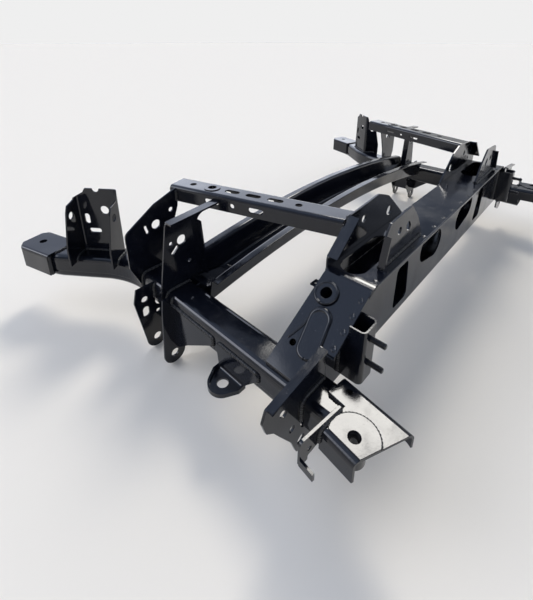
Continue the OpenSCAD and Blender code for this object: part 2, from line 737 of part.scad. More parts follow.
// Height of the arched floor's underside at x.
function cross_floor_z(x) = rail_top - cross_floor + cross_arch - cross_r + sqrt(cross_r * cross_r - x * x);
module front_crossmember() {
    half = asin(rail_in / cross_r) + 1;
    color(paint) difference() {
        intersection() {
            translate([0, cross_y, cross_floor_z(0) - cross_r]) rotate([90, 0, 0]) rotate([0, 0, 90 - half])
                rotate_extrude(angle = 2 * half, $fn = 360)
                    polygon([for (q = strip(trough_line(cross_r), bend_r, sheet)) [q[1], q[0]]]);
            translate([weld_gap - rail_in, -rail_w * 2, 0])
                cube([2 * (rail_in - weld_gap), 4 * rail_w, 2 * rail_top]);
        }
        // Drain holes along the floor.
        for (k = [-2 : 2]) translate([k * drain_pitch, cross_y, 0]) cylinder(d = drain_d, h = 2 * rail_top);
    }
}
// Sloping patch that closes each end of the trough up to the rail's top edge.
module crossmember_gusset() {
    w = cross_w / 2 - cross_batter - bend_r;
    x0 = rail_in - gusset_len;
    z0 = max(cross_floor_z(x0), cross_floor_z(x0 + gusset_foot)) + 1.5 * sheet + weld_gap;
    run = [[x0, z0], [x0 + gusset_foot, z0], [rail_in - sheet, rail_top + sheet / 2]];
    color(paint) along_y(cross_y - w, cross_y + w) polygon(strip(run, bend_r, sheet));
}

module strut_frame() {
    translate([strut_rear_x, strut_rear_y, 0]) rotate([0, 0, strut_turn]) children();
}
module strut_clearance() {
    w = strut_w / 2 + weld_gap;
    strut_frame() translate([-w, -strut_w, strut_top - strut_d - weld_gap])
        cube([2 * w, strut_len + strut_w + weld_gap, strut_d + 2 * weld_gap]);
}
// Channel with its open side down, lightened along the top and the walls.
module strut() {
    w = (strut_w - sheet) / 2;
    ring = strut_hole_start + 4 * strut_pitch;
    color(paint) difference() {
        strut_frame() {
            along_y(-strut_w, strut_len) polygon(strip([[-w, strut_top - strut_d],
                [-w, strut_top - sheet / 2], [w, strut_top - sheet / 2], [w, strut_top - strut_d]],
                bend_r, sheet));
            translate([0, ring, strut_top - sheet / 2])
                cylinder(d = 2.4 * strut_hole_d, h = strut_ring_h + sheet / 2);
        }
        // The rear end is cut to lie against the link bracket's front wall.
        translate([0, strut_rear_y - 4 * strut_w, 0]) cube([2 * rail_x, 4 * strut_w, 2 * strut_top]);
        strut_frame() {
            along_z(strut_top - 2 * sheet, strut_top + 2 * strut_ring_h) {
                for (k = [0, 5]) translate([0, strut_hole_start + k * strut_pitch]) circle(d = strut_hole_d);
                translate([-strut_w / 5, strut_hole_start + 6 * strut_pitch]) circle(d = 0.8 * strut_hole_d);
                for (k = [1 : 3]) translate([0, strut_hole_start + k * strut_pitch])
                    slot(strut_slot, strut_hole_d, 90);
                translate([0, ring]) circle(d = 1.3 * strut_hole_d);
            }
            for (k = [1.6, 3.7]) translate([0, strut_hole_start + k * strut_pitch, strut_top - 0.55 * strut_d])
                rotate([90, 0, 90]) linear_extrude(2 * strut_w, center = true)
                    slot(strut_slot, 0.75 * strut_hole_d);
            translate([0, strut_hole_start + 2.7 * strut_pitch, strut_top - 0.55 * strut_d]) rotate([0, 90, 0])
                cylinder(d = 0.7 * strut_hole_d, h = 2 * strut_w, center = true);
        }
    }
}

module arm_bracket_front_plate() {
    low = rail_top - 0.6 * rail_h;
    edge = [[rail_in + plate, low], [rail_out + weld_gap, low], [arm_x + arm_out, pad_z + 0.2 * arm_rise],
        [arm_x + arm_out, arm_z], [arm_x, arm_z + 0.95 * arm_crown], [arm_x - 0.9 * arm_out, strut_top],
        [arm_x - 0.8 * arm_out, arm_z + arm_crown / 2], [arm_x - 0.38 * arm_out, arm_z - 1.15 * arm_crown]];
    color(paint) difference() {
        along_y(arm_front_y, arm_front_y + plate) polygon(rounded(edge, [4, 4, 14, 12, 14, 4, 10, 16]));
        rail_clearance();
        strut_clearance();
        hole_y(arm_x, arm_front_y, arm_z, arm_bore);
        along_y(arm_front_y - 1, arm_front_y + 2 * plate) {
            translate([arm_x + 0.33 * arm_out, arm_z - 0.1 * arm_crown]) slot(arm_bore, 0.3 * arm_bore, 75);
            translate([arm_x - 0.55 * arm_out, arm_z + 0.45 * arm_crown]) circle(d = arm_bore / 2);
        }
    }
}
// Plate whose inboard edge and upper edge are folded to the rear.
module arm_bracket_rear_plate() {
    top = arm_z + arm_crown;
    end = top + arm_crown / 5;
    low = rail_top - rail_h / 2;
    side = rail_out + 2.5 * plate;
    inner = arm_x - arm_foot_in;
    corner_x = arm_x - 0.8 * arm_foot_in;
    h = plate / 2;
    foot = [[inner, rail_top + arm_foot_up], [rail_in, rail_top + arm_foot_up],
        [rail_in + 2 * plate, rail_top - 2 * plate],
        [rail_x, low], [side, low], [side, rail_top], [arm_x + 0.65 * arm_foot_in, top],
        [arm_x - arm_in, end], [corner_x, arm_z + 0.7 * arm_crown]];
    fold = [[inner + h, rail_top + arm_foot_up + h], [corner_x + h, arm_z + 0.65 * arm_crown]];
    lip = [[arm_x + 0.62 * arm_foot_in, top - h], [arm_x - arm_in + plate, end - h]];
    color(paint) difference() {
        union() {
            along_y(arm_rear_y - plate, arm_rear_y) polygon(rounded(foot, [2, 2, 2, 4, 4, 8, 10, 2, 14]));
            along_y(arm_rear_y - arm_fold, arm_rear_y) polygon(strip(fold, 1, plate));
            along_y(arm_rear_y - arm_fold, arm_rear_y) polygon(strip(lip, 1, plate));
        }
        rail_clearance();
        strut_clearance();
        hole_y(arm_x, arm_rear_y, arm_z, arm_bore);
        along_y(arm_rear_y - 2 * plate, arm_rear_y + 1) {
            translate([arm_x + 0.35 * arm_foot_in, arm_z - 0.35 * arm_crown])
                slot(arm_bore, 0.3 * arm_bore, -45);
            translate([arm_x + 0.5 * arm_foot_in, arm_z]) circle(d = 0.4 * arm_bore);
            translate([arm_x - 0.3 * arm_foot_in, arm_z - 1.1 * arm_crown]) circle(d = 0.4 * arm_bore);
        }
    }
}
// Channel that stands along the swept rail with its ears turned outboard.
module front_bracket_frame() {
    translate([rail_x + sweep_r, sweep_start, 0]) rotate([0, 0, -sweep_angle])
        translate([-sweep_r, front_bracket_shift, rail_top]) children();
}
module front_arm_bracket() {
    h = front_bracket_h;
    d = front_bracket_d;
    w = (front_bracket_w - plate) / 2;
    back = -front_bracket_back;
    top = back + front_bracket_top_d;
    foot = -front_bracket_skirt;
    plan = [[back + d, -w], [back, -w], [back, w], [back + d, w]];
    // Side view: ears that narrow upward and stay below the crown.
    side = [[back - plate, foot], [back + d, foot], [back + d, 0.2 * h], [top, 0.88 * front_ear_h],
        [top - bend_r, front_ear_h], [back + 3 * plate, 1.04 * front_ear_h], [back + plate, h],
        [back - plate, h]];
    // Front view: one shoulder of the crown is clipped.
    face = [[-2 * w, foot], [2 * w, foot], [2 * w, 0.7 * h], [0.62 * w, 0.94 * h], [0.5 * w, h], [-2 * w, h]];
    color(paint) difference() {
        intersection() {
            front_bracket_frame() along_z(foot, h) polygon(strip(plan, bend_r, plate));
            front_bracket_frame() rotate([90, 0, 0]) linear_extrude(4 * w, center = true) polygon(side);
            front_bracket_frame() rotate([90, 0, 90]) linear_extrude(4 * d, center = true) polygon(face);
        }
        rail_clearance();
        front_bracket_frame() {
            translate([back, 0, h]) rotate([0, 90, 0]) cylinder(d = front_bracket_bore, h = d, center = true);
            translate([back + front_bracket_out, 0, front_bracket_rise]) rotate([90, 0, 0])
                cylinder(d = front_bracket_bore, h = 2 * front_bracket_w, center = true);
            translate([back, 0.6 * w, 0.52 * h]) rotate([90, 0, 90])
                linear_extrude(d / 2, center = true)
                    slot(1.5 * front_bracket_bore, 0.75 * front_bracket_bore, 90);
            translate([back, -0.3 * w, 0.67 * h]) rotate([0, 90, 0])
                cylinder(d = 1.2 * front_bracket_bore, h = d / 2, center = true);
            translate([back, 0.3 * w, 0.33 * h]) rotate([90, 0, 90])
                linear_extrude(d / 2, center = true) slot(1.7 * front_bracket_bore, 0.65 * front_bracket_bore);
        }
    }
}

// Ear that hangs from the rail and ends in a round boss at the lower arm bolt.
module clevis_ear(y0, out, notch) {
    edge = [[clevis_x - clevis_r, clevis_z], [clevis_x + clevis_r, clevis_z],
        [rail_out + out, rail_top - rail_h / 2], [rail_out + 0.85 * out, rail_top],
        [rail_out - plate, rail_top], [rail_in + notch, rail_bottom - 2 * plate],
        [rail_in + notch, rail_bottom - 8 * plate]];
    difference() {
        union() {
            along_y(y0, y0 + plate) translate([clevis_x, clevis_z]) circle(r = clevis_r, $fn = 64);
            along_y(y0, y0 + plate) polygon(edge);
            children(0);
        }
        rail_clearance();
        hole_y(clevis_x, y0, clevis_z, clevis_bore);
        children(1);
    }
}
// Front ear with the web that joins it to the rear ear under the rail.
module lower_clevis_front_ear() {
    web_z = clevis_z + 0.8 * clevis_r;
    color(paint) clevis_ear(clevis_front_y, clevis_out, rail_w / 4) {
        translate([clevis_x - clevis_r - plate, clevis_rear_y + weld_gap, web_z])
            cube([plate, clevis_gap - weld_gap + plate / 2, rail_bottom - weld_gap - web_z]);
        along_y(clevis_front_y - 1, clevis_front_y + 2 * plate) {
            translate([rail_out + clevis_out / 2, rail_top - rail_h / 2]) circle(d = 0.8 * clevis_bore);
            translate([rail_out + clevis_out / 2, rail_bottom]) slot(1.4 * clevis_bore, 0.8 * clevis_bore, 90);
            translate([rail_out - plate, rail_bottom - clevis_r / 2]) circle(d = clevis_bore / 2);
        }
    }
}
// Rear ear with a flange that runs back along the rail's outer face.
module lower_clevis_rear_ear() {
    y1 = clevis_rear_y - plate / 2;
    low = pad_z - clevis_flange_drop;
    top = rail_top - 0.3 * rail_h;
    deep = top - low;
    edge = [[y1, low], [y1, top], [y1 - clevis_flange, top], [y1 - clevis_flange, top - 0.16 * deep],
        [y1 - 0.84 * clevis_flange, top - 0.3 * deep], [y1 - 0.4 * clevis_flange, top - 0.7 * deep],
        [y1 - 0.12 * clevis_flange, low]];
    color(paint) clevis_ear(clevis_rear_y - plate, clevis_out / 2, plate) {
        translate([rail_out + weld_gap, 0, 0]) rotate([90, 0, 90]) linear_extrude(plate)
            polygon(rounded(edge, [1, 1, 3, 3, 20, 30, 5]));
        along_y(clevis_rear_y - 2 * plate, clevis_rear_y + 1)
            translate([rail_out - plate, rail_bottom - clevis_r / 2]) circle(d = clevis_bore / 2);
    }
}

// Plan of the drop bracket's foot about its bore, drawn in by d all round.
module drop_plan(x0, bore_x, d) {
    w = drop_foot_w / 2 - d;
    r = drop_nose - d;
    tangent = r * sqrt(3) / 2;
    intersection() {
        union() {
            translate([bore_x, 0]) circle(r = r, $fn = 64);
            polygon([[x0, -w], [x0 + 2 * bend_r, -w], [bore_x + r / 2, -tangent], [bore_x + r / 2, tangent],
                [x0 + 2 * bend_r, w], [x0, w]]);
        }
        translate([x0, -drop_w]) square(2 * drop_w);
    }
}
// Bent tongue that narrows towards a rimmed foot with a vertical bore.
module drop_bracket() {
    x0 = rail_out + weld_gap;
    foot_z = rail_top - drop_depth;
    mid_x = x0 + plate / 2;
    profile = [[mid_x, rail_top - 1.4 * rail_r], [mid_x, foot_z + plate / 2],
        [mid_x + drop_w, foot_z + plate / 2]];
    bore_x = rail_out + drop_bore_out;
    web = [[-drop_w / 2, rail_top], [drop_w / 2, rail_top], [drop_w / 2, rail_top - rail_h / 2],
        [drop_shift + drop_foot_w / 2, foot_z + bend_r], [drop_shift + drop_foot_w / 2, foot_z],
        [drop_shift - drop_foot_w / 2, foot_z], [drop_shift - drop_foot_w / 2, foot_z + bend_r],
        [-drop_w / 2, rail_top - rail_h / 2]];
    color(paint) translate([0, drop_y, 0]) difference() {
        union() {
            intersection() {
                along_y(-drop_w, drop_w) polygon(strip(profile, bend_r, plate));
                rotate([90, 0, 90]) linear_extrude(2 * rail_x) polygon(web);
                along_z(0, rail_top) {
                    translate([0, drop_shift]) drop_plan(x0, bore_x, 0);
                    translate([x0, -drop_w / 2]) square([2 * plate, drop_w]);
                }
            }
            translate([0, drop_shift]) along_z(foot_z, foot_z + drop_rim) difference() {
                drop_plan(x0 + plate / 2, bore_x, 0);
                drop_plan(x0, bore_x, plate);
            }
        }
        translate([bore_x, drop_shift, foot_z - plate]) cylinder(d = drop_bore, h = 4 * plate);
    }
}

// Upright plate behind the beam's end, its upper edge folded to the rear.
module rear_gusset_plate() {
    y1 = plate_rear - weld_gap;
    low = rail_bottom - 0.68 * rail_h;
    tip = rail_out + gusset_reach;
    h = plate / 2;
    inner = [rail_in + rail_w / 4, pad_z + gusset_rise];
    outer = [tip - bend_r, pad_z + 0.75 * gusset_rise];
    edge = [inner, [rail_in + 2 * plate, pad_z + 0.2 * gusset_rise],
        [rail_in + 2 * plate, rail_bottom - 0.4 * rail_h], [rail_out - rail_w / 4, low],
        [rail_out + bend_r, low + plate], [rail_out + gusset_reach / 4, rail_bottom - plate],
        [rail_out + 0.58 * gusset_reach, rail_bottom + 0.6 * rail_h],
        [rail_out + 0.74 * gusset_reach, rail_top - plate], [tip - bend_r, rail_top + 2 * plate],
        [tip, pad_z + 0.45 * gusset_rise], outer];
    color(paint) difference() {
        union() {
            along_y(y1 - plate, y1) polygon(rounded(edge, [3, 3, 3, 8, 6, 12, 12, 6, 6, 6, 3]));
            along_y(y1 - gusset_fold, y1)
                polygon(strip([inner + [h, -1.2 * h], outer + [-h, -h]], 1, plate));
        }
        rail_clearance();
        along_y(y1 - 2 * plate, y1 + 1) {
            translate([rail_out + gusset_reach / 2, pad_z + 2 * plate])
                slot(gusset_bore, 0.6 * gusset_bore, 50);
            translate([rail_out + gusset_reach / 4, rail_bottom + 0.4 * rail_h]) circle(d = 0.7 * gusset_bore);
        }
        hole_y(rail_out - gusset_bore_in, y1, rail_bottom - gusset_bore_drop, gusset_bore);
    }
}
// Strip across the front of the rear cap, with a tab turned back at its lower outer corner.
module rear_hook_plate() {
    tip = rail_out - rear_cap_x + hook_reach;
    low = pad_z - hook_drop;
    edge = [[0, rail_top - 2 * plate], [tip - hook_lip, low + hook_lip / 2], [tip - hook_lip, low], [tip, low],
        [tip, pad_z + hook_up], [0, pad_z + hook_up]];
    color(paint) difference() {
        rear_cap_frame() {
            along_y(0, plate) polygon(rounded(edge, [2, 2, 2, 2, 5, 2]));
            translate([tip - plate, -hook_tab, low]) cube([plate, hook_tab + plate / 2, 0.8 * hook_lip]);
        }
        rail_clearance();
        rear_cap_frame() hole_y(tip - 1.2 * hook_lip, 0, pad_z - hook_drop / 2, hook_lip / 2);
    }
}

// Channel behind the beam whose upper corner clears the pinch flange.
module stud_bracket() {
    y1 = plate_rear - weld_gap;
    w = (stud_box_w - sheet) / 2;
    z0 = pad_z + stud_rise - stud_up;
    plan = [[-w, 0], [-w, -stud_box_d + sheet / 2], [w, -stud_box_d + sheet / 2], [w, 0]];
    over = concat(top_line(beam_tip, 2 * (sheet + weld_gap)),
        [[-beam_tip, 2 * beam_top], [beam_tip, 2 * beam_top]]);
    color(paint) difference() {
        translate([stud_x, y1, 0]) along_z(z0, z0 + stud_box_h) polygon(strip(plan, bend_r, sheet));
        along_y(plate_rear - flange_w - weld_gap, beam_rear) polygon(over);
        for (k = [0, 1])
            hole_y(stud_x, y1 - stud_box_d, pad_z + stud_rise + k * stud_pitch, stud_collar + 2 * weld_gap);
    }
}
module studs() {
    y1 = plate_rear - weld_gap - stud_box_d;
    color(paint) for (k = [0, 1])
        translate([stud_x, y1, pad_z + stud_rise + k * stud_pitch]) rotate([90, 0, 0]) {
            translate([0, 0, -sheet - stud_head_h - weld_gap]) cylinder(d = 2 * stud_d, h = stud_head_h);
            translate([0, 0, -sheet - weld_gap]) cylinder(d = stud_collar, h = sheet + weld_gap);
            cylinder(d = stud_d, h = stud_len);
        }
}
module line_tab() {
    color(paint) translate([beam_flat + tab_out, beam_front + weld_gap, beam_top - tab_drop]) difference() {
        cube([tab_w, tab_reach, sheet]);
        translate([tab_w / 2, 0.6 * tab_reach, -sheet]) cylinder(d = tab_hole, h = 3 * sheet);
    }
}

module pair_piece(name) {
    if (name == "side_rail_upper") side_rail_upper();
    if (name == "side_rail_lower") side_rail_lower();
    if (name == "rear_mount_cap") rear_mount_cap();
    if (name == "rear_mount_sleeve") rear_mount_sleeve();
    if (name == "front_mount_cap") front_mount_cap();
    if (name == "front_mount_sleeve") front_mount_sleeve();
    if (name == "front_arm_bracket") front_arm_bracket();
    if (name == "arm_bracket_front_plate") arm_bracket_front_plate();
    if (name == "arm_bracket_rear_plate") arm_bracket_rear_plate();
    if (name == "strut") strut();
    if (name == "link_bracket_front_wall") link_bracket_front_wall();
    if (name == "link_bracket_rear_wall") link_bracket_rear_wall();
    if (name == "bush_sleeve") bush_sleeve();
    if (name == "lower_clevis_front_ear") lower_clevis_front_ear();
    if (name == "lower_clevis_rear_ear") lower_clevis_rear_ear();
    if (name == "drop_bracket") drop_bracket();
    if (name == "rear_gusset_plate") rear_gusset_plate();
    if (name == "rear_hook_plate") rear_hook_plate();
    if (name == "stud_bracket") stud_bracket();
    if (name == "studs") studs();
    if (name == "crossmember_gusset") crossmember_gusset();
    if (name == "line_tab") line_tab();
}

rear_beam_front_shell();
rear_beam_rear_plate();
front_crossmember();
for (side = sides, name = pair_names)
    on_side(side) pair_piece(name);
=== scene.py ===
import math

import bmesh
import bpy
from mathutils import Matrix, Vector
from mathutils.bvhtree import BVHTree


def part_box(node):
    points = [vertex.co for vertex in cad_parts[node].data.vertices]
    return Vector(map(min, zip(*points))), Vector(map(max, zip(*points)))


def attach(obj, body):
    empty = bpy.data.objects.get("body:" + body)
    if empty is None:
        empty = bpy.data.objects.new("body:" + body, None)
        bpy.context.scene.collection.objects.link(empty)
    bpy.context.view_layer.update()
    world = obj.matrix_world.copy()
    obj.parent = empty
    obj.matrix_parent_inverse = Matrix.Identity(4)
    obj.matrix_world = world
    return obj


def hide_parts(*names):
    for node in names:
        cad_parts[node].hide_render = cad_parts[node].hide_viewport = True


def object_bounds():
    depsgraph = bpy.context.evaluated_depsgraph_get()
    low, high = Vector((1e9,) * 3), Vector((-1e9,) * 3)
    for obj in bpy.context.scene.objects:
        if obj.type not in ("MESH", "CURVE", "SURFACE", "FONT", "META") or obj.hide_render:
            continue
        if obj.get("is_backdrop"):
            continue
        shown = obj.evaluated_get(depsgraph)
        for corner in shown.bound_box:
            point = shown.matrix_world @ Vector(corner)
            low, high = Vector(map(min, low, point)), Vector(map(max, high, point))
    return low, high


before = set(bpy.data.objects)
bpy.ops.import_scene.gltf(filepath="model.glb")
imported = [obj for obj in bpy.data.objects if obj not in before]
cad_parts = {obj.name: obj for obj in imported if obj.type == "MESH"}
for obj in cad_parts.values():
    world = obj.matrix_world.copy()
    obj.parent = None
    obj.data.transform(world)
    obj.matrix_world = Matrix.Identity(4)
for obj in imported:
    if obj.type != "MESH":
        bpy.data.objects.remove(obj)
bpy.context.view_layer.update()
scene = bpy.context.scene
scene.view_settings.view_transform = "Standard"


# Camera: a short lens close to the left rear corner, held a little above the beam and
# tilted down. The picture's lower edge is shifted down to keep room below the brackets.
camera_at = Vector((-0.727, -0.441, 0.519))
camera_pitch = math.radians(20.94)
camera_heading = math.atan2(0.728, 0.685)
look = Vector((math.sin(camera_heading) * math.cos(camera_pitch),
               math.cos(camera_heading) * math.cos(camera_pitch),
               -math.sin(camera_pitch)))
camera_data = bpy.data.cameras.new("studio_camera")
camera_data.sensor_width = 36
camera_data.lens = 21.96
camera_data.shift_y = -0.2
camera_data.clip_start = 0.01
camera = bpy.data.objects.new("studio_camera", camera_data)
camera.location = camera_at
camera.rotation_euler = look.to_track_quat("-Z", "Y").to_euler()
scene.collection.objects.link(camera)
scene.camera = camera


# Studio: a matt pale floor that runs to the horizon under a pale sky, so that floor and
# background meet without a line. Overhead the sky is grey blue, with wide windows round
# about and one bright lamp high above, as in a hall with daylight.
def linear(hex_colour):
    """A colour written as sRGB hex, as linear red, green, blue and alpha."""
    parts = [int(hex_colour[i:i + 2], 16) / 255 for i in (1, 3, 5)]
    return [c / 12.92 if c <= 0.04045 else ((c + 0.055) / 1.055) ** 2.4 for c in parts] + [1.0]


def add_node(tree, kind, values=None, links=None, **settings):
    """Adds a node to a tree, sets its options and inputs, and links other outputs to its inputs."""
    node = tree.nodes.new(kind)
    for name, value in settings.items():
        setattr(node, name, value)
    for name, value in (values or {}).items():
        node.inputs[name].default_value = value
    for name, output in (links or {}).items():
        tree.links.new(output, node.inputs[name])
    return node


world = bpy.data.worlds.new("studio_sky")
world.use_nodes = True
scene.world = world
sky = world.node_tree
sky.nodes.clear()
direction = add_node(sky, "ShaderNodeTexCoord").outputs["Generated"]
height = add_node(sky, "ShaderNodeSeparateXYZ", links={"Vector": direction}).outputs["Z"]
fade = add_node(sky, "ShaderNodeMapRange", {"From Min": 0.15, "From Max": 0.45}, {"Value": height},
                interpolation_type="SMOOTHSTEP").outputs["Result"]
tint = add_node(sky, "ShaderNodeMix", {"A": linear("#efefef"), "B": linear("#828ea3")}, {"Factor": fade},
                data_type="RGBA").outputs["Result"]
glow = add_node(sky, "ShaderNodeBackground", {"Strength": 1.0}, {"Color": tint}).outputs["Background"]
above = add_node(sky, "ShaderNodeMapRange", {"From Min": 0.1, "From Max": 0.2}, {"Value": height},
                 interpolation_type="SMOOTHSTEP").outputs["Result"]
# Each window and the lamp: direction, degrees to its full and to its faded edge, strength, colour.
for aim, inner, outer, strength, colour in (((0.68, 0.64, 0.36), 14, 24, 2.1, "#eaf0ff"),
                                            ((0.57, 0.28, 0.77), 5, 11.5, 20.5, "#fffcf6"),
                                            ((-0.2, 0.4, 0.9), 12, 42, 0.8, "#c8dafc"),
                                            ((0.33, 0.8, 0.5), 6, 22, 0.9, "#e2eaff"),
                                            ((-0.55, 0.62, 0.54), 9, 21, 4.9, "#f2f5ff"),
                                            ((-0.55, -0.72, 0.42), 8, 28, 1.3, "#eaf0ff"),
                                            ((0.75, -0.5, 0.42), 6, 22, 1.3, "#eaf0ff")):
    full = math.cos(math.radians(inner))
    faded = math.cos(math.radians(outer))
    toward = add_node(sky, "ShaderNodeVectorMath", {1: Vector(aim).normalized()}, {0: direction},
                      operation="DOT_PRODUCT").outputs["Value"]
    lamp = add_node(sky, "ShaderNodeMapRange", {"From Min": faded, "From Max": full, "To Max": strength},
                    {"Value": toward}, interpolation_type="SMOOTHSTEP").outputs["Result"]
    level = add_node(sky, "ShaderNodeMath", links={0: lamp, 1: above}, operation="MULTIPLY").outputs["Value"]
    shine = add_node(sky, "ShaderNodeBackground", {"Color": linear(colour)}, {"Strength": level})
    glow = add_node(sky, "ShaderNodeAddShader", links={0: glow, 1: shine.outputs["Background"]}).outputs[0]
add_node(sky, "ShaderNodeOutputWorld", links={"Surface": glow})

half = 60
floor_mesh = bpy.data.meshes.new("studio_floor")
floor_mesh.from_pydata([(-half, -half, 0), (half, -half, 0), (half, half, 0), (-half, half, 0)],
                       [], [(0, 1, 2, 3)])
floor = bpy.data.objects.new("studio_floor", floor_mesh)
scene.collection.objects.link(floor)
floor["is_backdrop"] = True
# Matt paper: pale, with no shine.
paper = bpy.data.materials.new("matt_floor_paper")
paper.use_nodes = True
matt = paper.node_tree.nodes["Principled BSDF"]
matt.inputs["Base Color"].default_value = linear("#e3dcd0")
matt.inputs["Roughness"].default_value = 1.0
matt.inputs["Specular IOR Level"].default_value = 0.0
floor_mesh.materials.append(paper)


# Side rails: an upper and a lower channel pressed from 2.6 mm sheet, one lapped inside the
# other and seam welded. The finished frame is dipped in black primer and top coat and baked.
paint = bpy.data.materials.new("baked_black_dip_paint")
paint.use_nodes = True
coat = paint.node_tree
gloss = coat.nodes["Principled BSDF"]
gloss.inputs["IOR"].default_value = 1.5
gloss.inputs["Specular IOR Level"].default_value = 0.44
place = add_node(coat, "ShaderNodeTexCoord").outputs["Object"]
# Glossy and near black: clouds of dried wash water about 60 mm across, drips about 15 mm wide
# and 140 mm long, dust specks of 3 mm and an orange peel of 2.5 mm. Scales are waves to the metre.
cloud_scale, drip_scale, speck_scale, peel_scale = 16.0, (66.0, 66.0, 7.0), 300.0, 400.0
cloud = add_node(coat, "ShaderNodeTexNoise", {"Scale": cloud_scale, "Detail": 4.0, "Roughness": 0.6},
                 {"Vector": place}).outputs["Fac"]
stretch = add_node(coat, "ShaderNodeMapping", {"Scale": drip_scale}, {"Vector": place}).outputs["Vector"]
drips = add_node(coat, "ShaderNodeTexNoise", {"Scale": 1.0, "Detail": 3.0},
                 {"Vector": stretch}).outputs["Fac"]
speck = add_node(coat, "ShaderNodeTexNoise", {"Scale": speck_scale, "Detail": 3.0, "Roughness": 0.6},
                 {"Vector": place}).outputs["Fac"]
peel = add_node(coat, "ShaderNodeTexNoise", {"Scale": peel_scale, "Detail": 2.0, "Roughness": 0.5},
                {"Vector": place}).outputs["Fac"]
deep = add_node(coat, "ShaderNodeMix", {"A": linear("#07080d"), "B": linear("#10131c")}, {"Factor": cloud},
                data_type="RGBA").outputs["Result"]
dust = add_node(coat, "ShaderNodeMapRange", {"From Min": 0.62, "From Max": 0.78, "To Max": 0.16},
                {"Value": speck}).outputs["Result"]
black = add_node(coat, "ShaderNodeMix", {"B": linear("#4a4c50")}, {"Factor": dust, "A": deep},
                 data_type="RGBA").outputs["Result"]
film = add_node(coat, "ShaderNodeMapRange",
                {"From Min": 0.3, "From Max": 0.7, "To Min": 0.05, "To Max": 0.17},
                {"Value": cloud}).outputs["Result"]
drag = add_node(coat, "ShaderNodeMapRange", {"From Min": 0.5, "From Max": 0.75, "To Max": 0.09},
                {"Value": drips}).outputs["Result"]
streaked = add_node(coat, "ShaderNodeMath", links={0: film, 1: drag}, operation="ADD").outputs["Value"]
dulled = add_node(coat, "ShaderNodeMath", links={0: streaked, 1: dust}, operation="ADD").outputs["Value"]
# Pressed sheet is never quite flat: waves about 90 mm long and 1 mm high bend what it mirrors.
wave_scale, wave_height, peel_height = 11.0, 0.0028, 0.0004
wave = add_node(coat, "ShaderNodeTexNoise", {"Scale": wave_scale, "Detail": 1.0},
                {"Vector": place}).outputs["Fac"]
sag = add_node(coat, "ShaderNodeBump", {"Strength": 1.0, "Distance": wave_height},
               {"Height": wave}).outputs["Normal"]
ripple = add_node(coat, "ShaderNodeBump", {"Strength": 0.1, "Distance": peel_height},
                  {"Height": peel, "Normal": sag}).outputs["Normal"]
coat.links.new(black, gloss.inputs["Base Color"])
coat.links.new(dulled, gloss.inputs["Roughness"])
coat.links.new(ripple, gloss.inputs["Normal"])

# Points this close are one point, and an edge that turns more than this is a cut or a bend.
same_point = 0.00002
sharp_turn = math.radians(32)


def dress(*names):
    """Paints pressed pieces and rolls their cut edges over by 0.8 mm."""
    for name in names:
        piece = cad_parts[name]
        piece.data.materials.clear()
        piece.data.materials.append(paint)
        join = piece.modifiers.new("joined_faces", "WELD")
        join.merge_threshold = same_point
        flat = piece.modifiers.new("flat_faces", "DECIMATE")
        flat.decimate_type = "DISSOLVE"
        flat.angle_limit = math.radians(0.5)
        edge = piece.modifiers.new("rolled_edges", "BEVEL")
        edge.width = 0.0008
        edge.segments = 2
        edge.limit_method = "ANGLE"
        edge.angle_limit = sharp_turn
        edge.harden_normals = True
        piece.modifiers.new("even_shading", "WEIGHTED_NORMAL").keep_sharp = True


for side in ("left", "right"):
    dress(side + "_side_rail_upper", side + "_side_rail_lower")


# Weld beads: each bracket is arc welded along the edges that lie on the sheet below. A bead is
# about 6 mm wide with a ripple every 3 mm, and the paint covers it with a softer shine.
def seam_runs(piece, carrier):
    """The stretches of a piece's edges that lie within 0.9 mm of its carrier, as lists of points."""
    touch, margin, spacing = 0.0009, 0.001, 0.0015
    shape = bmesh.new()
    shape.from_mesh(piece.data)
    bmesh.ops.remove_doubles(shape, verts=shape.verts, dist=same_point)
    below = bmesh.new()
    below.from_mesh(carrier.data)
    tree = BVHTree.FromBMesh(below)
    low = [min(v.co[i] for v in below.verts) - margin for i in range(3)]
    high = [max(v.co[i] for v in below.verts) + margin for i in range(3)]
    runs = []
    for edge in shape.edges:
        if len(edge.link_faces) != 2 or edge.calc_face_angle() < sharp_turn:
            continue
        a, b = (v.co.copy() for v in edge.verts)
        if any(max(a[i], b[i]) < low[i] or min(a[i], b[i]) > high[i] for i in range(3)):
            continue
        steps = max(1, round((b - a).length / spacing))
        run = []
        for k in range(steps + 1):
            point = a.lerp(b, k / steps)
            if tree.find_nearest(point, touch)[0] is not None:
                run.append(point)
                continue
            if len(run) > 1:
                runs.append(run)
            run = []
        if len(run) > 1:
            runs.append(run)
    below.free()
    shape.free()
    return runs


def taken_onward(chain, runs):
    """Takes the stretch that goes on from a chain's end without a sharp turn, if there is one."""
    meeting, straight = 0.0004, 0.5
    ahead = (chain[-1] - chain[-2]).normalized()
    for run in runs:
        for way in (run, run[::-1]):
            meets = (way[0] - chain[-1]).length < meeting
            if meets and (way[1] - way[0]).normalized().dot(ahead) > straight:
                runs.remove(run)
                return way
    return []


def joined(runs):
    """Joins stretches that meet end to end, at both ends of each chain."""
    chains = []
    while runs:
        chain = runs.pop()
        for _ in ("end", "start"):
            way = taken_onward(chain, runs)
            while way:
                chain = chain + way[1:]
                way = taken_onward(chain, runs)
            chain = chain[::-1]
        chains.append(chain)
    return chains


bead_paint = bpy.data.materials.new("painted_weld_metal")
bead_paint.use_nodes = True
crust = bead_paint.node_tree
weld = crust.nodes["Principled BSDF"]
weld.inputs["Specular IOR Level"].default_value = 0.5
